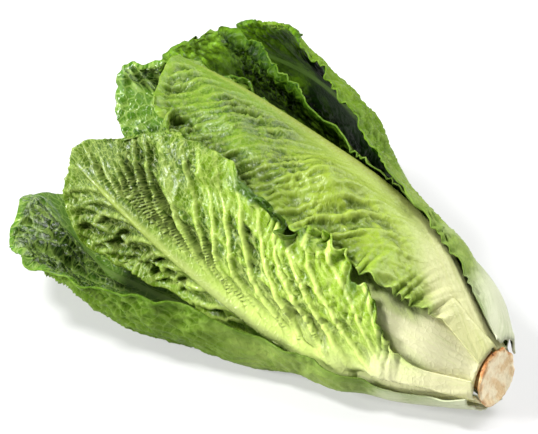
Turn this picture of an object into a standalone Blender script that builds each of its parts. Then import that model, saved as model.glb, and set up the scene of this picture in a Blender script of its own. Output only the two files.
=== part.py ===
"""Romaine lettuce head lying on its side: cut stem with separate overlapping leaves.

Row frame in metres: +X points to the cut stem, tips point to -X, +Z up, viewer side is -Y.
Each leaf is a flat outline wrapped round the axis of the head, laid over the leaves inside it.
"""
import math

import bpy
import numpy as np

# head
STEM_RADIUS = 0.0163
STEM_LENGTH = 0.066
DISC_DEPTH = 0.0020
CUT_SLANT = 0.0012
AXIS_HEIGHT = 0.0275
AXIS_RISE = 0.175
BLADE = 0.0009
GAP = 0.0012
REST_HEIGHT = 0.0006
FAR = 0.5

# map of radius taken up so far, by angle and distance from the cut
MAP_AZ = 240
MAP_S = 190
MAP_REACH = 0.36

ROUND = [(0, .20), (.10, .24), (.18, .42), (.28, .66), (.45, .88), (.68, 1), (.85, .90), (1, .60)]
NEAR_TOP = [(0, .20), (.10, .24), (.18, .36), (.28, .52), (.38, .66), (.5, .90), (.62, 1), (.75, 1.02), (.9, .94), (1, .80)]
FRONT_TOP = [(0, .20), (.10, .26), (.155, .38), (.20, .64), (.28, .86), (.44, .95),
             (.57, .95), (.72, .85), (.84, .74), (.93, .60), (1, .42)]
FRONT_LOW = [(0, .24), (.10, .30), (.3, .38), (.5, .46), (.65, .54), (.8, .74), (.92, .84), (1, .54)]
BROAD = [(0, .24), (.08, .36), (.18, .55), (.3, .74), (.45, .9), (.68, 1), (.85, .90), (1, .60)]
FOLDED = [(0, .26), (.05, .42), (.10, .56), (.2, .70), (.34, .88), (.5, 1), (.68, 1.10), (.85, 1.06), (1, .70)]
FAR_LOW = [(0, .06), (.06, .14), (.18, .42), (.28, .66), (.45, .88), (.68, 1), (.85, .90), (1, .60)]
UPPER_TOP = [(0, .20), (.10, .24), (.18, .42), (.28, .66), (.45, .88), (.68, 1), (.85, .85), (1, .45)]
UPPER_LOW = [(0, .18), (.04, .23), (.09, .32), (.17, .58), (.25, .78), (.36, .92),
             (.5, 1), (.7, 1.04), (.85, 1.04), (.95, .92), (1, .78)]
TALL_TOP = [(0, .20), (.10, .24), (.18, .42), (.28, .66), (.45, .88), (.6, 1), (.75, 1.02), (.9, .92),
            (1, .62)]
TALL_LOW = [(0, .06), (.06, .14), (.18, .42), (.28, .66), (.45, .88), (.68, 1), (.88, 1.04), (1, .86)]

# s: from, to; az: degrees from up, + toward viewer, at shares of length; r: radius there in mm;
# width: mm each side (-az, +az); curl: bend radius mm; flat: mm before bend starts
LEAVES = [
    dict(name="heart_leaf_inner_1", s=(.050, .188), az=[(0, 60), (1, 50)], r=[(0, 4), (.4, 12), (1, 11)],
         width=(24, 24), curl=(13, 13), rib=(6, 1.5), wave=(2, 30, 0), grid=(9, 13)),
    dict(name="heart_leaf_inner_2", s=(.046, .207), az=[(0, -110), (1, -120)],
         r=[(0, 4), (.4, 14), (1, 17)], width=(30, 30), curl=(16, 16), rib=(7, 1.2), wave=(2, 30, 1),
         grid=(9, 15)),
    dict(name="heart_leaf_inner_3", s=(.042, .222), az=[(0, 160), (1, 165)],
         r=[(0, 5), (.4, 16), (1, 21)], width=(34, 34), curl=(20, 20), rib=(8, 1.2), wave=(2, 35, 2),
         grid=(9, 15), lift=23, gap=.0018),
    dict(name="heart_leaf_inner_4", s=(.036, .238), az=[(0, 0), (1, -10)],
         r=[(0, 7), (.2, 13), (.5, 27), (1, 29)], width=(44, 44), curl=(29, 29), rib=(9, 2.5),
         wave=(2, 35, 3), grid=(9, 17)),
    dict(name="heart_leaf_inner_5", s=(.032, .248), az=[(0, -150), (1, -150)],
         r=[(0, 6), (.2, 12), (.5, 26), (1, 32)], width=(46, 46), curl=(33, 33), rib=(9, 1.5),
         wave=(2, 40, 4), grid=(9, 17), lift=20, gap=.0022),
    dict(name="heart_leaf_middle", s=(.0045, .232), az=[(0, 58), (.2, 55), (1, 60)],
         r=[(0, 12), (.06, 20), (.13, 30), (.2, 36), (.3, 41), (.4, 43), (1, 41)], width=(60, 48),
         curl=(30, 47), outline=(BROAD, BROAD), rib=(12, 3), wave=(2.5, 40, 5), grid=(13, 21)),
    dict(name="heart_leaf_under", s=(.034, .262), az=[(0, 175), (1, 178)],
         r=[(0, 7), (.2, 13), (.5, 28), (1, 38)], width=(50, 50), curl=(44, 44), rib=(10, 1.8),
         wave=(2.5, 40, 1), grid=(11, 17), lift=20, gap=.0034),
    dict(name="heart_leaf_far", s=(.018, .268), az=[(0, -92), (1, -95)],
         r=[(0, 10), (.12, 19), (.3, 33), (.6, 45), (1, 45)], width=(60, 64), curl=(46, 46),
         rib=(12, 2), wave=(2.5, 45, 2), grid=(11, 19), lift=17, gap=.0023),
    dict(name="upper_leaf", s=(.0038, .261), az=[(0, -3), (.12, -18), (.3, -32), (.6, -34), (1, -29)],
         r=[(0, 14.5), (.06, 24), (.13, 34), (.2, 43), (.3, 50.5), (.5, 56), (.8, 57), (1, 54)],
         width=(58, 70), outline=(UPPER_TOP, UPPER_LOW), curl=([(0, 28), (.3, 36), (.5, 50), (1, 54)], 57),
         rib=(14, 3.5), wave=(3.5, 42, 3), grid=(15, 27)),
    dict(name="front_leaf", s=(.003, .274), az=[(0, 122), (.2, 118), (.5, 106), (.75, 93), (1, 80)],
         r=[(0, 14.5), (.09, 26), (.19, 38), (.3, 46.5), (.5, 55), (.8, 57), (1, 55)],
         width=(79, 50), outline=(FRONT_TOP, FRONT_LOW), curl=(57, [(0, 40), (.4, 60), (.7, 300), (1, 400)]),
         flat=(0, [(0, 0), (.4, 5), (.7, 20), (1, 30)]), drop=(.13, 0), rib=(14, 3.5), wave=(3.5, 42, 0),
         grid=(15, 27), lift=10.5),
    dict(name="back_leaf", s=(.008, .320), az=[(0, -125), (.5, -120), (1, -108)],
         r=[(0, 15), (.08, 23), (.2, 36), (.5, 52), (.8, 54), (1, 35)], width=(60, 64), curl=(60, 56),
         rib=(12, 2), wave=(4, 45, 4), grid=(13, 21), lift=16, gap=.0034),
    dict(name="tall_leaf", s=(.005, .314), az=[(0, -62), (.3, -76), (.7, -87), (1, -98)],
         r=[(0, 16), (.06, 23), (.14, 31), (.3, 44), (.5, 65), (.8, 78), (1, 68)], width=(66, 52),
         outline=(TALL_LOW, TALL_TOP), curl=(66, [(0, 66), (.5, 66), (.8, 130), (1, 150)]), rib=(14, 2.2),
         wave=(4, 45, 4), grid=(13, 21), lift=15),
    dict(name="under_leaf", s=(.007, .272), az=[(0, -150), (1, -146)],
         r=[(0, 16), (.06, 25), (.2, 38), (.5, 60), (.8, 72), (1, 70)], width=(66, 66),
         flat=(15, 15), curl=(60, 60), rib=(12, 1.8), wave=(3, 50, 1), grid=(11, 19), lift=12, gap=.0020),
    dict(name="far_wrapper", s=(.003, .282), az=[(0, -58), (.2, -71), (.6, -83), (1, -81)],
         r=[(0, 16), (.02, 24), (.05, 32), (.09, 40), (.15, 46), (.22, 51), (.3, 58), (.4, 68), (.58, 94),
           (.8, 108), (1, 96)],
         width=(74, 59), outline=(FAR_LOW, FOLDED), drop=(.2, .2),
         flat=([(0, 2), (.3, 10), (1, 10)], [(0, 2), (.3, 6), (1, 0)]),
         curl=([(0, 14), (.3, 85), (1, 85)],
               [(0, 14), (.12, 18), (.22, 26), (.32, 42), (.6, 52), (.8, 66), (1, 120)]),
         rib=(15, 2.8), wave=(4.5, 44, 2), grid=(15, 27), lift=10),
    dict(name="near_wrapper", s=(.003, .320), az=[(0, 150), (.3, 149), (.6, 150), (1, 153)],
         r=[(0, 15.5), (.06, 25), (.2, 40), (.35, 60), (.5, 78), (.65, 88.5), (.8, 84), (1, 62)],
         width=(86, 94), outline=(NEAR_TOP, ROUND), flat=([(0, 5), (.4, 20), (1, 40)], 5),
         curl=([(0, 24), (.25, 32), (.5, 44), (.75, 90), (1, 300)], [(0, 35), (.3, 50), (1, 60)]),
         rib=(13, 2.2), wave=(4.5, 44, 0), grid=(15, 27), gap=.0020, rests=True),
]


def curve(points, v):
    """smooth line through (v, value) points, a plain number is constant"""
    if not isinstance(points, list):
        return np.full(np.shape(v), float(points))
    x = np.array([p[0] for p in points], float)
    y = np.array([p[1] for p in points], float)
    step = np.diff(x)
    rise = np.diff(y) / step
    slope = np.empty_like(y)
    both = rise[:-1] + rise[1:]
    product = rise[:-1] * rise[1:]
    slope[1:-1] = np.where(product > 0, 2 * product / np.where(both == 0, 1, both), 0)
    slope[0], slope[-1] = rise[0], rise[-1]
    v = np.clip(v, x[0], x[-1])
    i = np.clip(np.searchsorted(x, v, side="right") - 1, 0, len(step) - 1)
    t = (v - x[i]) / step[i]
    return ((1 + 2 * t) * (1 - t) ** 2 * y[i] + t * (1 - t) ** 2 * step[i] * slope[i]
            + t * t * (3 - 2 * t) * y[i + 1] + t * t * (t - 1) * step[i] * slope[i + 1])


def larger(a, b, k):
    return .5 * (a + b + np.sqrt((a - b) ** 2 + k * k))


def smaller(a, b, k):
    return .5 * (a + b - np.sqrt((a - b) ** 2 + k * k))


def axis_height(s):
    return AXIS_HEIGHT + AXIS_RISE * s


def core_radius(s):
    """stem behind its cut disc"""
    return np.interp(s, [0, .0035, .012, .030, .055, STEM_LENGTH, .08],
                     [.0130, .0130, .0110, .0080, .0050, .0025, 0])


def blank(leaf, u, v):
    """flat leaf: distance from its midrib and from the cut"""
    minus, plus = leaf.get("outline", (ROUND, ROUND))
    half = np.where(u < 0, curve(minus, v) * leaf["width"][0], curve(plus, v) * leaf["width"][1]) / 1000
    start, end = leaf["s"]
    drop = np.where(u < 0, *leaf.get("drop", (.12, .12)))
    s = start + (end - start) * v * (1 - drop * np.abs(u) ** 2.2 * v * v)
    return half * u, s


def thickness(leaf, x, v):
    """blade with midrib raised on its outer side"""
    wide = leaf["rib"][0] / 1000 * curve([(0, 1), (.2, .95), (.4, .6), (.7, .3), (1, .12)], v)
    high = leaf["rib"][1] / 1000 * curve([(0, .1), (.06, .3), (.15, .75), (.28, 1), (.6, .6), (.9, .25),
                                          (1, .05)], v)
    return BLADE + high * np.exp(-1.2 * (x / wide) ** 2)


def section(leaf, x, v):
    """free shape: angle and radius of inner face"""
    def each_side(key, default):
        pair = leaf.get(key, default)
        return np.where(x > 0, curve(pair[1], v), curve(pair[0], v)) / 1000
    flat = np.minimum(each_side("flat", (0, 0)), np.abs(x))
    bend = each_side("curl", (60, 60))
    turn = (np.abs(x) - flat) / bend
    up = curve(leaf["r"], v) / 1000 - bend * (1 - np.cos(turn))
    across = np.sign(x) * (flat + bend * np.sin(turn))
    return np.radians(curve(leaf["az"], v)) + np.arctan2(across, up), np.hypot(across, up)


def wave(leaf, x, u, v):
    """ruffles that grow toward the margin"""
    high, length, start = leaf["wave"]
    s = v * (leaf["s"][1] - leaf["s"][0]) * 1000
    edge = np.clip((np.abs(u) - .4) / .6, 0, 1) ** 2 * np.clip((v - .1) / .15, 0, 1)
    p = 2 * math.pi * s / length + start + np.where(x > 0, 1.3, 0)
    return high / 1000 * edge * (.5 + .5 * (.65 * np.sin(p) + .35 * np.sin(1.73 * p + 1.1)))


def look_up(grid, az, s):
    a = (az / (2 * math.pi) % 1) * MAP_AZ
    b = np.clip(s / MAP_REACH * (MAP_S - 1), 0, MAP_S - 1.001)
    i, j = np.floor(a).astype(int), np.floor(b).astype(int)
    fa, fb = a - i, b - j
    i %= MAP_AZ
    k = (i + 1) % MAP_AZ
    return ((1 - fa) * (1 - fb) * grid[i, j] + fa * (1 - fb) * grid[k, j]
            + (1 - fa) * fb * grid[i, j + 1] + fa * fb * grid[k, j + 1])


def moved(grid, step, axis):
    out = np.roll(grid, step, axis)
    if axis == 1 and step > 0:
        out[:, :step] = grid[:, :1]
    if axis == 1 and step < 0:
        out[:, step:] = grid[:, -1:]
    return out


def cleared(grid, grow=(7, 2), soften=(3, 2)):
    """smooth map that lies nowhere inside the given one"""
    for axis in (0, 1):
        grid = np.max([moved(grid, d, axis) for d in range(-grow[axis], grow[axis] + 1)], axis=0)
    for axis in (0, 1):
        grid = np.mean([moved(grid, d, axis) for d in range(-soften[axis], soften[axis] + 1)], axis=0)
    return grid


def place(az, s, r):
    az, s, r = np.broadcast_arrays(az, s, r)
    return np.stack([-s, -r * np.sin(az), axis_height(s) + r * np.cos(az)], -1)


def faces_of(leaf, under, nu, nv):
    """inner and outer face of a leaf laid over the map of what is inside it"""
    u, v = np.meshgrid(np.linspace(-1, 1, nu), np.linspace(0, 1, nv), indexing="ij")
    x, s = blank(leaf, u, v)
    along = np.clip((s - leaf["s"][0]) / (leaf["s"][1] - leaf["s"][0]), 0, 1)
    az, r = section(leaf, x, along)
    thick = thickness(leaf, x, along)
    r = r + wave(leaf, x, u, v)
    down = -np.cos(az)
    room = axis_height(s) - leaf.get("lift", 0) / 1000
    floor = np.where(down > .05, (room - thick) / np.maximum(down, .05), FAR)
    r = smaller(r, np.minimum(floor, FAR), .003)
    r = larger(r, look_up(under, az, s) + leaf.get("gap", GAP), .002)
    inner = place(az, s, r)
    du = np.gradient(inner, axis=0)
    dv = np.gradient(inner, axis=1)
    normal = np.cross(du, dv)
    normal /= np.linalg.norm(normal, axis=-1, keepdims=True)
    centre = np.stack([-s, 0 * s, axis_height(s)], -1)
    if ((inner - centre) * normal).sum() < 0:
        normal = -normal
    outer = inner + normal * thick[..., None]
    if leaf.get("rests"):
        outer[..., 2] = np.maximum(outer[..., 2], REST_HEIGHT)
        inner[..., 2] = np.maximum(inner[..., 2], REST_HEIGHT + BLADE)
    return inner, outer


def between(points, parts=8):
    """rows and columns of points filled in along straight lines"""
    for axis in (0, 1):
        points = np.moveaxis(points, axis, 0)
        t = (np.arange(parts) / parts)[None, :, None, None]
        filled = points[:-1, None] * (1 - t) + points[1:, None] * t
        points = np.concatenate([filled.reshape(-1, *points.shape[1:]), points[-1:]])
        points = np.moveaxis(points, 0, axis)
    return points


def taken(grid, points):
    """map raised to the points of a face"""
    s = -points[..., 0]
    up = points[..., 2] - axis_height(s)
    az = np.arctan2(-points[..., 1], up)
    i = np.round((az / (2 * math.pi) % 1) * MAP_AZ).astype(int) % MAP_AZ
    j = np.clip(np.round(s / MAP_REACH * (MAP_S - 1)).astype(int), 0, MAP_S - 1)
    np.maximum.at(grid, (i, j), np.hypot(points[..., 1], up))


def leaf_shapes():
    az, s = np.meshgrid(np.arange(MAP_AZ), np.arange(MAP_S) / (MAP_S - 1) * MAP_REACH, indexing="ij")
    grid = core_radius(s)
    shapes = []
    for leaf in LEAVES:
        inner, outer = faces_of(leaf, cleared(grid), *leaf["grid"])
        taken(grid, between(outer))
        shapes.append((leaf["name"], inner, outer))
    return shapes


def leaf_mesh(inner, outer):
    """closed body: both faces split alike, with a rim between them"""
    nu, nv = inner.shape[:2]
    points = np.concatenate([inner.reshape(-1, 3), outer.reshape(-1, 3)])
    index = np.arange(nu * nv).reshape(nu, nv)
    faces = []
    for i in range(nu - 1):
        for j in range(nv - 1):
            a, b = int(index[i, j]), int(index[i + 1, j])
            c, d = b + 1, a + 1
            split = [(a, b, c), (a, c, d)] if i < (nu - 1) // 2 else [(a, b, d), (b, c, d)]
            for t in split:
                faces.append(t)
                faces.append(tuple(q + nu * nv for q in reversed(t)))
    ring = [*index[:, 0], *index[-1, 1:], *index[-2::-1, -1], *index[0, -2:0:-1]]
    for k, i in enumerate(ring):
        i, j = int(i), int(ring[(k + 1) % len(ring)])
        faces.append((j, i, i + nu * nv))
        faces.append((j, i + nu * nv, j + nu * nv))
    return points, faces


def stem_mesh():
    """cut disc with a slight slant, tapering core behind it"""
    sides = 24
    rows = [0, DISC_DEPTH, .0034, .012, .022, .032, .043, .055, STEM_LENGTH]
    turn = np.arange(sides) / sides * 2 * math.pi
    points = []
    for k, s in enumerate(rows):
        ragged = 1 + .025 * np.sin(3 * turn + .6) + .015 * np.sin(7 * turn + 2)
        r = STEM_RADIUS * ragged if k < 2 else core_radius(s) - .0002
        shift = CUT_SLANT * np.cos(turn + .7) if k == 0 else 0
        points.append(place(turn, s + shift, r))
    points = np.concatenate(points + [place(np.zeros(1), np.array([STEM_LENGTH]), np.zeros(1)),
                                      place(np.zeros(1), np.zeros(1), np.zeros(1))])
    faces = []
    for k in range(len(rows) - 1):
        for i in range(sides):
            a, b = k * sides + i, k * sides + (i + 1) % sides
            c, d = b + sides, a + sides
            faces += [(a, c, b), (a, d, c)]
    last, tip, cut = (len(rows) - 1) * sides, len(rows) * sides, len(rows) * sides + 1
    for i in range(sides):
        j = (i + 1) % sides
        faces += [(last + i, tip, last + j), (i, j, cut)]
    return points, faces


def material(name, colour, roughness):
    made = bpy.data.materials.new(name)
    made.use_nodes = True
    shader = made.node_tree.nodes["Principled BSDF"]
    shader.inputs["Base Color"].default_value = (*colour, 1)
    shader.inputs["Roughness"].default_value = roughness
    return made


def add(name, points, faces, colour, roughness):
    mesh = bpy.data.meshes.new(name)
    mesh.from_pydata(points.tolist(), [], faces)
    mesh.update()
    volume = sum(p.center.dot(p.normal) * p.area for p in mesh.polygons)
    if volume < 0:
        mesh.flip_normals()
    mesh.materials.append(material(name + "_skin", colour, roughness))
    made = bpy.data.objects.new(name, mesh)
    bpy.context.scene.collection.objects.link(made)
    return made


def leaf_colour(name):
    if "wrapper" in name or name in ("back_leaf", "tall_leaf", "under_leaf"):
        return (.13, .27, .06)
    if "inner" in name:
        return (.58, .66, .24)
    return (.38, .54, .15)


def main():
    for old in list(bpy.data.objects):
        bpy.data.objects.remove(old)
    made = [add("stem", *stem_mesh(), (.72, .58, .36), .7)]
    for name, inner, outer in leaf_shapes():
        made.append(add(name, *leaf_mesh(inner, outer), leaf_colour(name), .5))
    corners = np.array([v.co[:] for m in made for v in m.data.vertices])
    low, high = corners.min(0), corners.max(0)
    shift = (-(low[0] + high[0]) / 2, -(low[1] + high[1]) / 2, -low[2])
    for m in made:
        m.location = shift


main()
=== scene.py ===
"""Romaine lettuce head on a pale floor.

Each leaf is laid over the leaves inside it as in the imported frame, on a fine grid, with its veins,
puckers, pleats and ruffled margin in the mesh. Metres, except where a name or comment says mm.
"""
import math

import bpy
import numpy as np
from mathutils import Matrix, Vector

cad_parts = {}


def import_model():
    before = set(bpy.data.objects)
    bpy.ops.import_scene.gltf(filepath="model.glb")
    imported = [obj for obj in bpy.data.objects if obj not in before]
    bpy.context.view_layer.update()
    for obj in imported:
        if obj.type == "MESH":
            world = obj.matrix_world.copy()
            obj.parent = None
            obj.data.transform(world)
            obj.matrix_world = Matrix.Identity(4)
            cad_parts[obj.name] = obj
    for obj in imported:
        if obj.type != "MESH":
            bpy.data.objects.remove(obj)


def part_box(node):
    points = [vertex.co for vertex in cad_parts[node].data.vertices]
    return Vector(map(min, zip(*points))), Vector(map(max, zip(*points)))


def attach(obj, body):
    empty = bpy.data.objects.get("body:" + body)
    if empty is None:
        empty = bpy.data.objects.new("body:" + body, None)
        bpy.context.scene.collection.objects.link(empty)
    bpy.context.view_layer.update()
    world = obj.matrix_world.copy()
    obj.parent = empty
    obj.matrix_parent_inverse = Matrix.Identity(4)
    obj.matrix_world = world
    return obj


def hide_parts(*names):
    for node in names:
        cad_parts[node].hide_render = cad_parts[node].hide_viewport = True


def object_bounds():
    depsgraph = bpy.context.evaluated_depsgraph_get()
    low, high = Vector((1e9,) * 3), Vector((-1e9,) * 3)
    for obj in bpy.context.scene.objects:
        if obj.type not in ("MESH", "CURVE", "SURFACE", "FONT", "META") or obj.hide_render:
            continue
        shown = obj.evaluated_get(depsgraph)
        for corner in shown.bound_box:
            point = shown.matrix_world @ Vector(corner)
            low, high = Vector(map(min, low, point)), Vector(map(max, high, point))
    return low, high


# head, as in the frame
STEM_RADIUS = .0163
CUT_SLANT = .0012
AXIS_HEIGHT = .0275
AXIS_RISE = .175
BLADE = .0009
GAP = .0012
REST_HEIGHT = .0006
STEM_LENGTH = .066
FAR = .5

# map of radius taken up so far, by angle and distance from the cut
MAP_AZ = 480
MAP_S = 420
MAP_REACH = .36

# camera: angle, distance and the point it looks at, from the cut stem
CAMERA_AZIMUTH = 41
CAMERA_ELEVATION = 34
CAMERA_DISTANCE = 2.5
VIEW_WIDTH = .3013
AIM_LEFT = .1277
AIM_UP = .0907

# light: metres to the right, up and back from the aim, seen level from the camera; size; power in watts
LIGHTS = [("key", (-.80, 1.20, .15), .30, 22), ("left", (-1.20, .40, .30), .35, 23),
          ("rim", (.80, 1.10, -.50), 1.50, 33)]
WORLD_LIGHT = .13
FLOOR_COLOUR = (.42, .42, .42)
FLOOR_GLOW = .37
FLOOR_REACH = 6.

# laying a leaf over those inside: soft changes, the least distance, and the cells of the map by which
# what is inside is grown and softened, by angle and distance, for the leaf's form and for its relief
FLOOR_BLEND = .003
LAY_BLEND = .002
LEAST_GAP = .0003
FORM_CELLS = ((9, 3), (6, 4))
RELIEF_CELLS = ((2, 1), (1, 1))

# cut end: rings behind the face, as distance from the cut and share of the radius; distances of the
# rings of the core; points round a ring; and the small spike of fibre on the rim
RIM_RINGS = ((.0011, 1.0), (.0019, .985), (.0026, .93))
CORE_RINGS = (.0034, .012, .022, .032, .043, .055, STEM_LENGTH)
STEM_SIDES = 180
TUFT_TURN = -.53
TUFT_WIDTH = .17
TUFT_HEIGHT = .0026

# outlines: share of the leaf's width along its length
ROUND = [(0, .20), (.10, .24), (.18, .42), (.28, .66), (.45, .88), (.68, 1), (.85, .90), (1, .60)]
NEAR_TOP = [(0, .20), (.10, .24), (.18, .36), (.28, .52), (.38, .66), (.5, .90),
            (.62, 1), (.75, 1.02), (.9, .94), (1, .80)]
FRONT_TOP = [(0, .20), (.10, .26), (.155, .38), (.20, .64), (.28, .86), (.44, .95),
             (.57, .95), (.72, .85), (.84, .74), (.93, .60), (1, .42)]
FRONT_LOW = [(0, .24), (.10, .30), (.3, .38), (.5, .46), (.65, .54), (.8, .74), (.92, .84), (1, .54)]
BROAD = [(0, .24), (.08, .36), (.18, .55), (.3, .74), (.45, .9), (.68, 1), (.85, .90), (1, .60)]
FOLDED = [(0, .26), (.05, .42), (.10, .56), (.2, .70), (.34, .88), (.5, 1),
          (.68, 1.10), (.85, 1.06), (1, .70)]
UPPER_LOW = [(0, .18), (.04, .23), (.09, .32), (.17, .58), (.25, .78), (.36, .92),
             (.5, 1), (.7, 1.04), (.85, 1.04), (.95, .92), (1, .78)]
TALL_TOP = [(0, .20), (.10, .24), (.18, .42), (.28, .66), (.45, .88), (.6, 1),
            (.75, 1.02), (.9, .92), (1, .62)]
FAR_LOW = [(0, .06), (.06, .14), (.18, .42), (.28, .66), (.45, .88), (.68, 1), (.85, .90), (1, .60)]
UPPER_TOP = [(0, .20), (.10, .24), (.18, .42), (.28, .66), (.45, .88), (.68, 1), (.85, .85), (1, .45)]
TALL_LOW = [(0, .06), (.06, .14), (.18, .42), (.28, .66), (.45, .88), (.68, 1), (.88, 1.04), (1, .86)]

# midrib, at shares of length: its width and height, and those of the rounder cord along its middle
RIB_WIDTH = [(0, 1), (.2, .95), (.4, .6), (.7, .3), (1, .12)]
RIB_HEIGHT = [(0, .1), (.06, .3), (.15, .75), (.28, 1), (.6, .6), (.9, .25), (1, .05)]
CORD_WIDTH = [(0, 1.5), (.15, 1.3), (.35, .82), (.6, .6), (.85, .42), (.94, .2), (1, .06)]
CORD_HEIGHT = [(0, .15), (.1, .45), (.25, .9), (.4, 1), (.7, .75), (.9, .4), (1, .05)]

# relief in mm; a pair holds the halves on the -az and +az side, a list its values along the leaf
#   slope, reach, turn: course of the side veins away from the midrib; bend: how far they wander
#   pitch, depth, pocket: spacing of side veins, how far the blade sinks between them and in what lengths
#   share, bold: how much of that in each half and along the leaf; fading: how much ends far from the rib
#   vein: height of the side veins; fork: where a second vein parts a fold; clear: smooth strip at the rib
#   cell, cell_depth, cell_share: puckers of the net between veins; small: puckers within them
#   fine, fine_depth: fine cross ribs; crumple: crumpling; swell: broad waves
#   frill: height, length and reach of the crinkled margin, ruffle: its share; lobes: how ragged it is
#   band: strip of smooth margin; cord: half width and height of the midrib's cord
#   pale: how pale the blade is at the rib
EVEN = [(0, .4), (.3, 1), (1, .6)]
PLAIN = dict(
    slope=.8, reach=10, turn=10, bend=(2.6, 1.0), pitch=14, depth=.8, pocket=14, share=(1, 1), bold=EVEN,
    fading=0, vein=.3, fork=(24, 44), clear=(8, 8), cell=(7, 9), cell_depth=.7, cell_share=(1, 1),
    small=.5, fine=3.4, fine_depth=.12, crumple=(0, 0), swell=.8, frill=(1.2, 11, 5), ruffle=(1, 1),
    lobes=(1, 1), band=(5, 5), cord=(5, 1.2), pale=(1, 1))
FRONT = dict(
    PLAIN, reach=16, turn=12, bend=(4.0, 1.5), pitch=14.5, depth=5.6, pocket=15, share=(1.2, .45),
    bold=[(0, .1), (.2, .3), (.36, .7), (.5, 1), (.8, 1), (.9, .6), (1, .3)],
    fading=.6, vein=1.1, fork=(40, 60),
    clear=([(0, 16), (.4, 9), (.7, 6), (1, 6)], [(0, 18), (.3, 14), (.45, 7), (.6, 3), (1, 3)]),
    cell=(11, 10), cell_depth=2.0,
    cell_share=([(0, 1.3), (.3, 1), (.5, .6), (.8, .35), (1, .3)],
                [(0, .1), (.3, .4), (.5, 3), (.6, 4.4), (1, 4.4)]),
    small=.3, fine=3.2, fine_depth=.04,
    crumple=([(0, 1.6), (.4, 1.5), (.65, 1.3), (.8, 1), (1, .5)],
             [(0, .1), (.35, .3), (.55, 1.4), (1, 1.4)]),
    swell=3.4, frill=(3.0, 11, 8),
    ruffle=([(0, 0), (.12, .6), (.2, 1.8), (.46, 1.7), (.56, .3), (.64, .1), (1, .1)],
            [(0, 0), (.3, .3), (.6, .4), (1, .3)]),
    lobes=([(0, 1), (.2, 2.6), (.45, 2.2), (.6, .8), (1, 1)], 1),
    band=([(0, 3), (.42, 3), (.55, 11), (1, 14)], 7), cord=(6.5, 3.0),
    pale=([(0, 1.6), (.4, 1.5), (.6, .9), (.8, .3), (1, .2)],
          [(0, 2), (.3, 1.6), (.5, .8), (.8, .8), (1, .1)]))
UPPER = dict(
    PLAIN, slope=.85, reach=5, turn=9, pitch=11, depth=3.0, pocket=16,
    bold=[(0, .15), (.15, .3), (.3, .7), (.6, 1), (.9, 1.1), (1, .5)],
    vein=.5, fork=(26, 44), clear=(8, [(0, 40), (.2, 34), (.4, 22), (.7, 12), (1, 8)]),
    cell=(6, 9), cell_depth=1.5, fine=4.2, fine_depth=.4,
    crumple=(.3, [(0, 1.1), (.5, 1.1), (.65, 1.2), (1, 1.8)]), swell=6.4, frill=(2.6, 13, 8),
    ruffle=(.2, [(0, 0), (.06, .5), (.14, 1.6), (.42, 1.5), (.6, .6), (1, .3)]),
    lobes=(.4, [(0, 1), (.1, 2.4), (.45, 2), (.6, 1), (1, 1)]),
    band=(5, [(0, 2), (.5, 3), (.7, 8), (1, 12)]), cord=(7, 1.6),
    pale=(1, [(0, 3), (.3, 2.2), (.6, 1.2), (1, .6)]))
PUCKERED = dict(
    PLAIN, reach=9, pitch=16, depth=2.6, bold=[(0, .4), (.5, .9), (.8, 1.2), (1, 1)],
    cell=(6.5, 7.5), cell_depth=3.2, fine=3.6, fine_depth=.2, crumple=(.8, .8), swell=1.8,
    frill=(1.4, 14, 5), band=(4, 4), cord=(4, .9))
WRAPPER = dict(
    PLAIN, reach=9, pitch=18, depth=.9, cell=(6, 7), cell_depth=1.1, fine=3.6, swell=2.0,
    frill=(.4, 16, 5), cord=(5, 1.0))
NEAR_SIDE = dict(
    WRAPPER, depth=2.8, bold=[(0, .15), (.5, .25), (.66, .6), (.78, 1.1), (1, 1)],
    cell=(9, 10), cell_depth=3.8, crumple=([(0, .3), (.6, .5), (.8, .7), (1, .5)], .6), lobes=(.25, 1))
FAR_SIDE = dict(WRAPPER, depth=1.8, cell_depth=3.4, frill=(1.3, 13, 5))

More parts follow.
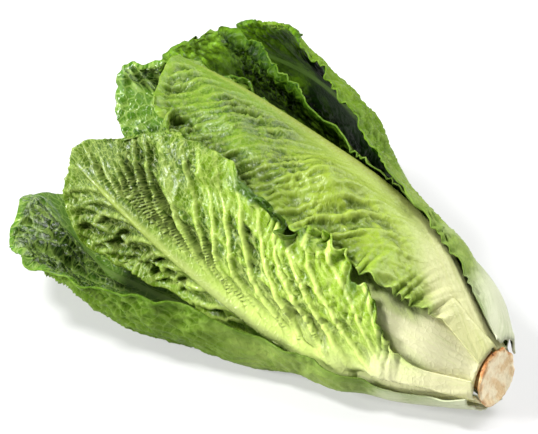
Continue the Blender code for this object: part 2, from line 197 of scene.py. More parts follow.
# s: from, to, in m; az: degrees from up, + toward viewer, at shares of length; r: radius there in mm;
# width: mm each side (-az, +az); curl: bend radius mm; flat: mm before bend starts; drop: how far the
# corners of the tip fall back; rib: width and height mm; wave: height and length mm, start; grid: points
# across and along; lift: mm kept free below; gap: m to the leaves inside; rolls: margin turned outward,
# as side, start, end, width mm and degrees; relief: one of the looks above; mature: has the colours of
# an outer leaf; rests: touches the floor
LEAVES = [
    dict(name="heart_leaf_inner_1", s=(.050, .188), az=[(0, 60), (1, 50)], r=[(0, 4), (.4, 12), (1, 11)],
         width=(24, 24), curl=(13, 13), rib=(6, 1.5), wave=(2, 30, 0), grid=(41, 71)),
    dict(name="heart_leaf_inner_2", s=(.046, .207), az=[(0, -110), (1, -120)],
         r=[(0, 4), (.4, 14), (1, 17)], width=(30, 30), curl=(16, 16), rib=(7, 1.2), wave=(2, 30, 1),
         grid=(41, 81)),
    dict(name="heart_leaf_inner_3", s=(.042, .222), az=[(0, 160), (1, 165)],
         r=[(0, 5), (.4, 16), (1, 21)], width=(34, 34), curl=(20, 20), rib=(8, 1.2), wave=(2, 35, 2),
         grid=(41, 81), lift=23, gap=.0018),
    dict(name="heart_leaf_inner_4", s=(.036, .238), az=[(0, 0), (1, -10)],
         r=[(0, 7), (.2, 13), (.5, 27), (1, 29)], width=(44, 44), curl=(29, 29), rib=(9, 2.5),
         wave=(2, 35, 3), grid=(51, 91)),
    dict(name="heart_leaf_inner_5", s=(.032, .248), az=[(0, -150), (1, -150)],
         r=[(0, 6), (.2, 12), (.5, 26), (1, 32)], width=(46, 46), curl=(33, 33), rib=(9, 1.5),
         wave=(2, 40, 4), grid=(51, 91), lift=20, gap=.0022),
    dict(name="heart_leaf_middle", s=(.0045, .232), az=[(0, 58), (.2, 55), (1, 60)],
         r=[(0, 12), (.06, 20), (.13, 30), (.2, 36), (.3, 41), (.4, 43), (1, 41)], width=(60, 48),
         curl=(30, 47), outline=(BROAD, BROAD), rib=(12, 3), wave=(2.5, 40, 5), grid=(71, 141)),
    dict(name="heart_leaf_under", s=(.034, .262), az=[(0, 175), (1, 178)],
         r=[(0, 7), (.2, 13), (.5, 28), (1, 38)], width=(50, 50), curl=(44, 44), rib=(10, 1.8),
         wave=(2.5, 40, 1), grid=(51, 101), lift=20, gap=.0022),
    dict(name="heart_leaf_far", s=(.018, .268), az=[(0, -92), (1, -95)],
         r=[(0, 10), (.12, 19), (.3, 33), (.6, 45), (1, 45)], width=(60, 64), curl=(46, 46),
         rib=(12, 2), wave=(2.5, 45, 2), grid=(61, 121), lift=17, gap=.0020),
    dict(name="upper_leaf", s=(.0038, .261), az=[(0, -3), (.12, -18), (.3, -32), (.6, -34), (1, -29)],
         r=[(0, 14.5), (.06, 24), (.13, 34), (.2, 43), (.3, 50.5), (.5, 56), (.8, 57), (1, 54)],
         width=(58, 70), outline=(UPPER_TOP, UPPER_LOW),
         curl=([(0, 26), (.3, 27), (.5, 32), (1, 38)], 57), rib=(14, 3.5), wave=(3.5, 42, 3),
         grid=(147, 303), relief=UPPER),
    dict(name="front_leaf", s=(.003, .274), az=[(0, 122), (.2, 118), (.5, 106), (.75, 93), (1, 80)],
         r=[(0, 14.5), (.09, 26), (.19, 38), (.3, 46.5), (.5, 55), (.8, 57), (1, 55)],
         width=(79, 50), outline=(FRONT_TOP, FRONT_LOW), curl=(57, [(0, 40), (.4, 60), (.7, 300), (1, 400)]),
         flat=(0, [(0, 0), (.4, 5), (.7, 20), (1, 30)]), rib=(14, 3.5), wave=(3.5, 42, 0),
         grid=(151, 311), lift=10.5, drop=(.13, 0), relief=FRONT, rolls=[(-1, .38, .68, 11, 165)]),
    dict(name="back_leaf", s=(.008, .320), az=[(0, -125), (.5, -120), (1, -108)],
         r=[(0, 15), (.08, 23), (.2, 36), (.5, 52), (.8, 54), (1, 35)], width=(60, 64), curl=(60, 56),
         rib=(12, 2), wave=(4, 45, 4), grid=(81, 211), lift=16, gap=.0015, relief=PUCKERED, mature=True),
    dict(name="tall_leaf", s=(.005, .314), az=[(0, -62), (.3, -76), (.7, -87), (1, -98)],
         r=[(0, 16), (.06, 23), (.14, 31), (.3, 44), (.5, 65), (.8, 78), (1, 68)], width=(66, 52),
         curl=(66, [(0, 66), (.5, 66), (.8, 130), (1, 150)]), outline=(TALL_LOW, TALL_TOP),
         rib=(14, 2.2), wave=(4, 45, 4), grid=(91, 231), lift=15, relief=PUCKERED, mature=True),
    dict(name="under_leaf", s=(.007, .272), az=[(0, -150), (1, -146)],
         r=[(0, 16), (.06, 25), (.2, 38), (.5, 60), (.8, 72), (1, 70)], width=(66, 66),
         flat=(15, 15), curl=(60, 60), rib=(12, 1.8), wave=(3, 50, 1), grid=(61, 121), lift=12,
         gap=.0020, mature=True),
    dict(name="far_wrapper", s=(.003, .282), az=[(0, -58), (.2, -71), (.6, -83), (1, -81)],
         r=[(0, 16), (.02, 24), (.05, 32), (.09, 40), (.15, 46), (.22, 51), (.3, 58), (.4, 68), (.58, 94),
           (.8, 108), (1, 96)],
         width=(74, 59), outline=(FAR_LOW, FOLDED),
         flat=([(0, 2), (.3, 10), (1, 10)], [(0, 2), (.3, 6), (1, 0)]),
         curl=([(0, 14), (.3, 85), (1, 85)],
               [(0, 14), (.12, 18), (.22, 26), (.32, 42), (.6, 52), (.8, 66), (1, 120)]),
         rib=(15, 2.8), wave=(4.5, 44, 2), grid=(121, 251), lift=10, drop=(.2, .2), relief=FAR_SIDE,
         mature=True),
    dict(name="near_wrapper", s=(.003, .320), az=[(0, 150), (.3, 149), (.6, 150), (1, 153)],
         r=[(0, 15.5), (.06, 25), (.2, 40), (.35, 60), (.5, 78), (.65, 88.5), (.8, 84), (1, 62)],
         width=(86, 94), outline=(NEAR_TOP, ROUND), flat=([(0, 5), (.4, 20), (1, 40)], 5),
         curl=([(0, 24), (.25, 32), (.5, 44), (.75, 90), (1, 300)], [(0, 35), (.3, 50), (1, 60)]),
         rib=(13, 2.2), wave=(4.5, 44, 0), grid=(131, 275), rests=True, relief=NEAR_SIDE, mature=True),
]


# numbers

def curve(points, v):
    """smooth line through (v, value) points, a plain number is constant"""
    if not isinstance(points, list):
        return np.full(np.shape(v), float(points))
    x = np.array([p[0] for p in points], float)
    y = np.array([p[1] for p in points], float)
    step = np.diff(x)
    rise = np.diff(y) / step
    slope = np.empty_like(y)
    both = rise[:-1] + rise[1:]
    product = rise[:-1] * rise[1:]
    slope[1:-1] = np.where(product > 0, 2 * product / np.where(both == 0, 1, both), 0)
    slope[0], slope[-1] = rise[0], rise[-1]
    v = np.clip(v, x[0], x[-1])
    i = np.clip(np.searchsorted(x, v, side="right") - 1, 0, len(step) - 1)
    t = (v - x[i]) / step[i]
    return ((1 + 2 * t) * (1 - t) ** 2 * y[i] + t * (1 - t) ** 2 * step[i] * slope[i]
            + t * t * (3 - 2 * t) * y[i + 1] + t * t * (t - 1) * step[i] * slope[i + 1])


def larger(a, b, k):
    """the larger of two, with a soft change from one to the other"""
    return .5 * (a + b + np.sqrt((a - b) ** 2 + k * k))


def smaller(a, b, k):
    """the smaller of two, with a soft change from one to the other"""
    return .5 * (a + b - np.sqrt((a - b) ** 2 + k * k))


def ease(a, b, x):
    """0 up to a, 1 from b on, smooth between"""
    t = np.clip((x - a) / (b - a), 0, 1)
    return t * t * (3 - 2 * t)


def chance(i, j, seed):
    """repeatable number from 0 to 1 for each lattice point"""
    n = (i * 374761393 + j * 668265263 + seed * 1442695041) & 0xffffffff
    n = ((n ^ (n >> 13)) * 1274126177) & 0xffffffff
    return (n ^ (n >> 16)) / 4294967296


def noise(x, y, seed):
    """smooth noise from -1 to 1"""
    i, j = np.floor(x).astype(np.int64), np.floor(y).astype(np.int64)
    fx, fy = x - i, y - j
    fx, fy = (f * f * f * (f * (f * 6 - 15) + 10) for f in (fx, fy))
    low = (1 - fx) * chance(i, j, seed) + fx * chance(i + 1, j, seed)
    high = (1 - fx) * chance(i, j + 1, seed) + fx * chance(i + 1, j + 1, seed)
    return 2 * ((1 - fy) * low + fy * high) - 1


def spots(x, s, size, seed):
    """smooth noise in spots of a size in mm, first across and then along the leaf"""
    return noise(x / size[0], s / size[1], seed)


def cells(x, y, seed):
    """distance to the border of a cell, in an irregular net of cells of about 1"""
    i, j = np.floor(x).astype(np.int64), np.floor(y).astype(np.int64)
    near = np.full(x.shape, 9.)
    second = np.full(x.shape, 9.)
    for di in (-1, 0, 1):
        for dj in (-1, 0, 1):
            a, b = i + di, j + dj
            px = a + .5 + .8 * (chance(a, b, seed) - .5)
            py = b + .5 + .8 * (chance(a, b, seed + 7) - .5)
            d = np.hypot(x - px, y - py)
            second = np.minimum(second, np.maximum(near, d))
            near = np.minimum(near, d)
    return second - near


# form, as in the frame

def axis_height(s):
    return AXIS_HEIGHT + AXIS_RISE * s


def core_radius(s):
    return np.interp(s, [0, .0035, .012, .030, .055, STEM_LENGTH, .08],
                     [.0130, .0130, .0110, .0080, .0050, .0025, 0])


def blank(leaf, u, v):
    """flat leaf: distance from its midrib and from the cut, and half its width"""
    minus, plus = leaf.get("outline", (ROUND, ROUND))
    half = np.where(u < 0, curve(minus, v) * leaf["width"][0], curve(plus, v) * leaf["width"][1]) / 1000
    start, end = leaf["s"]
    drop = leaf.get("drop", (.12, .12))
    s = start + (end - start) * v * (1 - np.where(u < 0, *drop) * np.abs(u) ** 2.2 * v * v)
    return half * u, s, half


def thickness(leaf, x, v, cord):
    """blade with midrib raised on its outer side, with a rounder cord along its middle"""
    wide = leaf["rib"][0] / 1000 * curve(RIB_WIDTH, v)
    high = leaf["rib"][1] / 1000 * curve(RIB_HEIGHT, v)
    return BLADE + .75 * high * np.exp(-1.2 * (x / wide) ** 2) + cord


def section(leaf, x, v):
    """free shape: angle and radius of inner face"""
    def each_side(key, default):
        pair = leaf.get(key, default)
        return np.where(x > 0, curve(pair[1], v), curve(pair[0], v)) / 1000
    flat = np.minimum(each_side("flat", (0, 0)), np.abs(x))
    bend = each_side("curl", (60, 60))
    turn = (np.abs(x) - flat) / bend
    up = curve(leaf["r"], v) / 1000 - bend * (1 - np.cos(turn))
    across = np.sign(x) * (flat + bend * np.sin(turn))
    return np.radians(curve(leaf["az"], v)) + np.arctan2(across, up), np.hypot(across, up)


def wave(leaf, x, u, v):
    """ruffles that grow toward the margin"""
    high, length, start = leaf["wave"]
    s = v * (leaf["s"][1] - leaf["s"][0]) * 1000
    edge = np.clip((np.abs(u) - .4) / .6, 0, 1) ** 2 * np.clip((v - .1) / .15, 0, 1)
    p = 2 * math.pi * s / length + start + np.where(x > 0, 1.3, 0)
    return high / 1000 * edge * (.5 + .5 * (.65 * np.sin(p) + .35 * np.sin(1.73 * p + 1.1)))


def look_up(grid, az, s):
    """radius in the map at an angle and a distance from the cut"""
    a = (az / (2 * math.pi) % 1) * MAP_AZ
    b = np.clip(s / MAP_REACH * (MAP_S - 1), 0, MAP_S - 1.001)
    i, j = np.floor(a).astype(int), np.floor(b).astype(int)
    fa, fb = a - i, b - j
    i %= MAP_AZ
    k = (i + 1) % MAP_AZ
    return ((1 - fa) * (1 - fb) * grid[i, j] + fa * (1 - fb) * grid[k, j]
            + (1 - fa) * fb * grid[i, j + 1] + fa * fb * grid[k, j + 1])


def moved(grid, step, axis):
    """map moved by some cells: round by angle, held at the ends by distance"""
    out = np.roll(grid, step, axis)
    if axis == 1 and step > 0:
        out[:, :step] = grid[:, :1]
    if axis == 1 and step < 0:
        out[:, step:] = grid[:, -1:]
    return out


def cleared(grid, grow, soften):
    """smooth map that lies nowhere inside the given one"""
    for axis in (0, 1):
        grid = np.max([moved(grid, d, axis) for d in range(-grow[axis], grow[axis] + 1)], axis=0)
    for axis in (0, 1):
        grid = np.mean([moved(grid, d, axis) for d in range(-soften[axis], soften[axis] + 1)], axis=0)
    return grid


def place(az, s, r):
    """points at angles, distances from the cut and radii"""
    az, s, r = np.broadcast_arrays(az, s, r)
    return np.stack([-s, -r * np.sin(az), axis_height(s) + r * np.cos(az)], -1)


def polar(points):
    """angles, distances from the cut and radii of points"""
    s = -points[..., 0]
    up = points[..., 2] - axis_height(s)
    return np.arctan2(-points[..., 1], up), s, np.hypot(points[..., 1], up)


def unit(a):
    return a / np.maximum(np.linalg.norm(a, axis=-1, keepdims=True), 1e-12)


def outward(points):
    """normals of a face of points, away from the axis of the head"""
    normal = unit(np.cross(np.gradient(points, axis=0), np.gradient(points, axis=1)))
    s = -points[..., 0]
    centre = np.stack([-s, 0 * s, axis_height(s)], -1)
    return normal if ((points - centre) * normal).sum() > 0 else -normal


def between(points, parts=2):
    """points with more of them filled in along both grid directions"""
    for axis in (0, 1):
        points = np.moveaxis(points, axis, 0)
        t = (np.arange(parts) / parts)[None, :, None, None]
        filled = points[:-1, None] * (1 - t) + points[1:, None] * t
        points = np.concatenate([filled.reshape(-1, *points.shape[1:]), points[-1:]])
        points = np.moveaxis(points, 0, axis)
    return points


def taken(grid, points):
    """map raised to the points of a face"""
    az, s, r = polar(points)
    i = np.round((az / (2 * math.pi) % 1) * MAP_AZ).astype(int) % MAP_AZ
    j = np.clip(np.round(s / MAP_REACH * (MAP_S - 1)).astype(int), 0, MAP_S - 1)
    np.maximum.at(grid, (i, j), r)


# relief

def both_halves(pair, u, v):
    """value along each half of a leaf"""
    return np.where(u < 0, curve(pair[0], v), curve(pair[1], v))


def pit(border, width):
    """0 on the border of a cell, 1 well inside it"""
    return 1 - np.exp(-(border / width) ** 1.3)


def sway(look, number, x, s, away):
    """distance along the leaf at which the side vein through a point leaves the midrib"""
    wide, narrow = look["bend"]
    wander = wide * spots(x, s, (24, 24), number) + narrow * spots(x, s, (8, 8), number + 50)
    sweep = look["slope"] * away + look["reach"] * (1 - np.exp(-away / look["turn"]))
    return s - sweep + wander


def side_folds(look, number, side, x, s, root, away, share):
    """blade sunk in pockets between the side veins, the raised veins, and where they lie"""
    pitch = look["pitch"]
    step = root / pitch + .38 * noise(root / (1.7 * pitch), away / 40, 11 * number + side * 5)
    which = np.floor(step).astype(np.int64)
    fold = np.abs(step - which - .5) * 2
    strength = (.6 + .6 * chance(which, side, number + 3)) * (.8 + .4 * spots(x, s, (17, 25), number + 8))
    fork = .5 * np.exp(-(fold / .25) ** 2) * ease(*look["fork"], away)
    cross = np.abs((away / look["pocket"] + 3 * chance(which, side, number + 5)) % 1 - .5) * 2
    walls = 1 - .55 * np.exp(-((1 - cross) / .22) ** 2) * ease(8, 14, away)
    kept = 1 - look["fading"] * ease(12, 34, away)
    pleat = -look["depth"] * np.clip(1 - fold ** 2.4 - fork, 0, 1) * walls * strength * share * kept
    off_vein = (1 - fold) * .39 * pitch
    ridge = look["vein"] * np.exp(-off_vein ** 2) * kept
    return pleat, ridge, np.maximum(1 - ease(.5, 1.3, off_vein), .6 * fork)


def puckers(look, number, seed, x, s, root, away, share):
    """pits between the net of small veins, smaller pits within them, and where the net lies"""
    wide, high = look["cell"]
    border = cells(root / wide, away / high + .3 * noise(s / 9, x / 9, seed + 2), seed)
    lumps = .25 + .75 * ease(-.7, .5, spots(x, s, (22, 22), number + 21))
    large = -look["cell_depth"] * pit(border, .34) * share * lumps * ease(2, 22, away)
    small = -look["small"] * pit(cells(root / (.36 * wide), away / (.36 * high), seed + 31), .4)
    return large, small, (1 - ease(.05, .15, border)) * ease(4, 14, away)


def cross_ribs(look, seed, v, x, s, root, away):
    """depth of the fine ribs that cross the blade, and where they lie"""
    comb = np.abs((root / look["fine"] + .5 * noise(s / 11, x / 9, seed + 9)) % 1 - .5) * 2
    fade = np.exp(-away / 16) * ease(0, 3, away)
    fine = -look["fine_depth"] * (1 - comb ** 1.5) * (.25 + fade) * (1 - .8 * ease(.75, .9, v))
    return fine, ease(.55, .95, comb) * fade


def crinkle(look, number, side, v, x, s, margin):
    """crinkles of the margin before their share, their run from crest to valley, and nearness to it"""
    high, length, wide = look["frill"]
    phase = s / length + 1.1 * noise(s / 14, x * 0 + side, number + 12)
    crimp = np.sin(2 * math.pi * phase) + .45 * np.sin(2 * math.pi * (2.3 * phase + .2 + margin / 30))
    edge = np.exp(-margin / wide)
    strength = .6 + .6 * noise(s / 23, x * 0 + side, number + 14)
    return high * crimp * edge * strength * ease(.05, .15, v), crimp, edge


def relief(leaf, number, u, v, x, s, half):
    """height of the blade's relief, thickness of the midrib's cord, colour fields with the masks for painted
    shade and painted highlight, and flat coordinates
    """
    look = leaf.get("relief", PLAIN)
    x, s, half = x * 1000, s * 1000, half * 1000
    length = (leaf["s"][1] - leaf["s"][0]) * 1000

    def each_half(key):
        return both_halves(look[key], u, v)
    across = np.abs(x)
    side = np.where(x > 0, 1, 0)
    seed = 11 * number + side * 5
    cord_half = look["cord"][0] * curve(CORD_WIDTH, v)
    away = np.maximum(across - .7 * cord_half, 0)
    root = sway(look, number, x, s, away)
    margin = np.minimum((1 - np.abs(u)) * half, (1 - v) * length)

    # where the relief is strong: off the base, off the midrib, off the margin, along the leaf, in patches
    blade = ease(.10, .30, v + .10 * noise(s / 16, x / 16, number + 3) + .10 * np.clip(away / 25, 0, 1))
    clear = each_half("clear")
    out = ease(.1 * clear, clear, away)
    inset = ease(0, 1, margin / each_half("band"))
    bold = curve(look["bold"], v)
    patch = .35 + 1.25 * ease(-.6, .6, noise(x / 19 + 4, s / 25, number + 90))

    pleat, ridge, veins = side_folds(look, number, side, x, s, root, away, each_half("share"))
    pleat, ridge, veins = pleat * out * inset * bold * patch, ridge * out * inset * bold * patch, veins * out
    large, small, net = puckers(look, number, seed, x, s, root, away, each_half("cell_share"))
    large, small = large * inset * (.3 + .7 * bold), small * out * (.4 + .6 * inset) * (.3 + .7 * bold)
    fine, ribs = cross_ribs(look, seed, v, x, s, root, away)
    crumple = np.abs(noise(x / 4.6 + 9, s / 4.6, number + 70))
    crumple = crumple + .5 * np.abs(spots(x, s, (2.4, 2.4), number + 71))
    crumple = -crumple * patch * each_half("crumple") * ease(8, 26, away) * (.3 + .7 * inset)
    swell = spots(x, s, (30, 42), number + 40) + .5 * spots(x, s, (15, 22), number + 44)
    swell = look["swell"] * swell * ease(3, 18, away) * ease(.15, .4, v)
    frill, crimp, edge = crinkle(look, number, side, v, x, s, margin)
    ruffle = each_half("ruffle")
    height = (pleat + ridge + fine + large + small + crumple) * blade + swell + frill * ruffle

    cord = look["cord"][1] * np.clip(1 - (x / cord_half) ** 2, 0, 1) ** .6 * curve(CORD_HEIGHT, v)
    grooves = .12 * np.cos(x * 2.4 / (.4 + cord_half / 8)) * np.exp(-away / 5)
    crest = (pleat + large + small) / (look["depth"] + look["cell_depth"])
    # where the skin paints darker: painted shade in the hollows of the crinkled margin, and on margins
    # rolled outward the back's darker green with painted shade
    back_and_shade = np.clip(edge * ease(-.2, .8, -crimp) * (ruffle - .7) * 1.1, 0, .9) * ease(.1, .2, v)
    for side_sign, start, end, wide, _ in leaf.get("rolls", ()):
        reach = ease(start, start + .1, v) * (1 - ease(end - .1, end, v)) * (u * side_sign > 0)
        back_and_shade = np.maximum(back_and_shade, reach * (1 - ease(.95 * wide, 1.15 * wide, margin)))
    rib = 1 - ease(.70, 1.05, across / cord_half + .08 * noise(s / 6, x, number))
    # the low field marks where the blade sinks: the skin paints shade there, and a highlight where the blade
    # stands high
    fields = dict(
        rib=rib * (1 - ease(.9, 1, v)), near=np.clip(np.exp(-away / 9) * each_half("pale"), 0, 1),
        vein=np.clip(np.maximum(.9 * veins, .5 * net), 0, 1) * blade, comb=ribs * blade,
        edge=edge * ruffle ** .5, low=ease(.12, .55, -crest) * blade, length=v, blade=blade, back_and_shade=back_and_shade)
    flat = np.stack([x / 10, s / 10, 0 * x + number], -1)
    return height / 1000, (cord + grooves * (1 - blade)) / 1000, fields, flat


def ragged(leaf, number, u, v):
    """share by which the margin stands in or out, and the length added to the tip"""
    s = v * (leaf["s"][1] - leaf["s"][0]) * 1000
    side = np.where(u < 0, 0, 9) + 0 * s
    lobes = both_halves(leaf.get("relief", PLAIN)["lobes"], u, v)
    width = lobes * (.035 * noise(s / 12, side, number + 61) + .02 * noise(s / 5, side, number + 62))
    tip = .0016 * noise(4 * u, 0 * u + 5, number + 63) + .0009 * noise(11 * u, 0 * u, number + 64)
    return 1 + width * ease(.1, .25, v), tip * ease(.8, 1, v)


def rolled(leaf, u, v, half, across, normal):
    """margins that turn outward over themselves"""
    shift = np.zeros(across.shape)
    for side, start, end, wide, turn in leaf.get("rolls", ()):
        d = np.clip(wide / 1000 - (1 - np.abs(u)) * half, 0, None) * (np.sign(u) == side)
        fade = .3 * (end - start)
        share = ease(start, start + fade, v) * (1 - ease(end - fade, end, v))
        bend = np.radians(turn) * share / (wide / 1000)
        angle = d * bend
        safe = np.maximum(bend, 1e-6)
        along = np.where(angle > 1e-4, np.sin(angle) / safe, d) - d
        over = np.where(angle > 1e-4, (1 - np.cos(angle)) / safe, 0)
        shift = shift + along[..., None] * across * side + over[..., None] * normal
    return shift


def faces_of(leaf, number, under):
    """inner and outer face of a leaf laid over the map, its colour fields and flat coordinates"""
    nu, nv = leaf["grid"]
    u, v = np.meshgrid(np.linspace(-1, 1, nu), np.linspace(0, 1, nv), indexing="ij")
    x, s, half = blank(leaf, u, v)
    wide, tip = ragged(leaf, number, u, v)
    x, s, half = x * wide, s + tip, half * wide
    along = np.clip((s - leaf["s"][0]) / (leaf["s"][1] - leaf["s"][0]), 0, 1)
    height, cord, fields, flat = relief(leaf, number, u, v, x, s, half)
    az, r = section(leaf, x, along)
    thick = thickness(leaf, x, along, cord)
    r = r + wave(leaf, x, u, v)
    down = -np.cos(az)
    room = axis_height(s) - leaf.get("lift", 0) / 1000
    floor = np.where(down > .05, (room - thick) / np.maximum(down, .05), FAR)
    r = smaller(r, np.minimum(floor, FAR), FLOOR_BLEND)
    r = larger(r, look_up(cleared(under, *FORM_CELLS), az, s) + leaf.get("gap", GAP), LAY_BLEND)
    base = place(az, s, r)
    normal = outward(base)
    across = unit(np.gradient(base, axis=0))
    inner = base + normal * height[..., None] + rolled(leaf, u, v, half, across, normal)
    az, s, r = polar(inner)
    inner = place(az, s, np.maximum(r, look_up(cleared(under, *RELIEF_CELLS), az, s) + LEAST_GAP))
    outer = inner + outward(inner) * thick[..., None]
    if leaf.get("rests"):
        outer[..., 2] = np.maximum(outer[..., 2], REST_HEIGHT)
        inner[..., 2] = np.maximum(inner[..., 2], REST_HEIGHT + BLADE)
    return inner, outer, fields, flat


# meshes

def new_object(name, points, faces, kinds):
    """mesh from points and quads, with a material slot for each quad"""
    mesh = bpy.data.meshes.new(name)
    faces = np.asarray(faces, np.int32)
    mesh.vertices.add(len(points))
    mesh.vertices.foreach_set("co", np.asarray(points, np.float32).ravel())
    mesh.loops.add(faces.size)
    mesh.loops.foreach_set("vertex_index", faces.ravel())
    mesh.polygons.add(len(faces))
    mesh.polygons.foreach_set("loop_start", np.arange(0, faces.size, faces.shape[1], dtype=np.int32))
    mesh.polygons.foreach_set("material_index", np.asarray(kinds, np.int32))
    mesh.polygons.foreach_set("use_smooth", np.ones(len(faces), bool))
    mesh.update(calc_edges=True)
    mesh.validate()
    made = bpy.data.objects.new(name, mesh)
    bpy.context.scene.collection.objects.link(made)
    return made


def store(mesh, name, values):
    """attribute of the mesh's points, a number or a vector for each"""
    if values.ndim == 1:
        made = mesh.attributes.new(name, "FLOAT", "POINT")
        made.data.foreach_set("value", values.astype(np.float32))
    else:
        made = mesh.attributes.new(name, "FLOAT_VECTOR", "POINT")
        made.data.foreach_set("vector", values.astype(np.float32).ravel())


def leaf_piece(name, inner, outer, fields, flat, shift):
    """closed mesh of both faces of a leaf and the rim between them, with its colour fields"""
    nu, nv = inner.shape[:2]
    count = nu * nv
    index = np.arange(count).reshape(nu, nv)
    quads = np.stack([index[:-1, :-1], index[1:, :-1], index[1:, 1:], index[:-1, 1:]], -1).reshape(-1, 4)
    ring = np.concatenate([index[:, 0], index[-1, 1:], index[-2::-1, -1], index[0, -2:0:-1]])
    after = np.roll(ring, -1)
    rim = np.stack([after, ring, ring + count, after + count], -1)
    faces = np.concatenate([quads, quads[:, ::-1] + count, rim])
    kinds = np.repeat([0, 1, 1], [len(quads), len(quads), len(rim)])
    points = np.concatenate([inner.reshape(-1, 3), outer.reshape(-1, 3)])
    a, b = points[quads[:, 2]] - points[quads[:, 0]], points[quads[:, 3]] - points[quads[:, 1]]
    out = outer.reshape(-1, 3)[quads[:, 0]] - inner.reshape(-1, 3)[quads[:, 0]]
    if (np.cross(a, b) * out).sum() > 0:
        faces = faces[:, ::-1]
    made = new_object(name, points + shift, faces, kinds)
    for key, field in fields.items():
        store(made.data, key, np.tile(field.ravel(), 2))
    store(made.data, "flat", np.tile(flat.reshape(-1, 3), (2, 1)))
    return made


def rim_radius(turn):
    """radius of the cut end, not quite round"""
    return STEM_RADIUS * (1 + .025 * np.sin(3 * turn + .6) + .015 * np.sin(7 * turn + 2))


def cut_height(turn, share):
    """slope of the cut face"""
    return CUT_SLANT * np.cos(turn + .7) * share


def stem_piece(shift):
    """cut face with a ragged rim and a tapering core behind it"""
    turn = np.arange(STEM_SIDES) / STEM_SIDES * 2 * math.pi
    shares = np.concatenate([np.linspace(.02, .9, 26), np.linspace(.92, 1, 8)])
    rough = .0006 * noise(turn * 9 / math.pi, 0 * turn + 3, 5)
    rough = rough + .0003 * noise(turn * 27 / math.pi, 0 * turn, 6)
    rough -= rough.mean()
    tuft = np.exp(-(((turn - TUFT_TURN + math.pi) % (2 * math.pi) - math.pi) / TUFT_WIDTH) ** 2)
    rough = rough + TUFT_HEIGHT * tuft * (.7 + .5 * noise(turn * 50, 0 * turn, 8))
    rows, fields = [], []
    for share in shares:
        y, z = share * np.sin(turn), share * np.cos(turn)
        step = .0005 * ease(.80, .86, share) - .0004 * ease(.93, 1, share)
        bumps = .0003 * noise(4 * y + 9, 4 * z + 9, 4) + .00018 * noise(11 * y, 11 * z, 9)
        bumps = bumps + .0003 * ease(.7, 1, share) * noise(turn * 14 / math.pi, 0 * turn + share * 6, 15)
        s = cut_height(turn, share) + .0008 * (1 - share * share) - step + bumps
        rows.append(place(turn, s, share * (rim_radius(turn) + rough * ease(.7, 1, share))))
        fields.append(np.full(STEM_SIDES, share))
    for s, share in RIM_RINGS:
        rows.append(place(turn, s + cut_height(turn, 1), (rim_radius(turn) + rough) * share))
    for s in CORE_RINGS:
        rows.append(place(turn, s, core_radius(s) - .0002 + 0 * turn))
    fields.append(np.full(STEM_SIDES * (len(RIM_RINGS) + len(CORE_RINGS)), 1.1))
    points = np.concatenate(rows)
    index = np.arange(len(points)).reshape(-1, STEM_SIDES)
    after = np.roll(index, -1, 1)
    faces = np.stack([index[:-1], after[:-1], after[1:], index[1:]], -1).reshape(-1, 4)
    cap = []
    for ring, flip in ((index[0], True), (index[-1], False)):
        for k in range(1, STEM_SIDES // 2):
            quad = [ring[k - 1], ring[k], ring[-1 - k], ring[-k]]
            cap.append(quad[::-1] if flip else quad)
    made = new_object("stem_cut", points + shift, np.concatenate([faces, np.array(cap)]),
                      np.zeros(len(faces) + len(cap)))
    made.data.flip_normals()
    store(made.data, "reach", np.concatenate(fields))
    store(made.data, "flat", (points - np.array([0, 0, AXIS_HEIGHT])) / STEM_RADIUS)
    return made


# materials

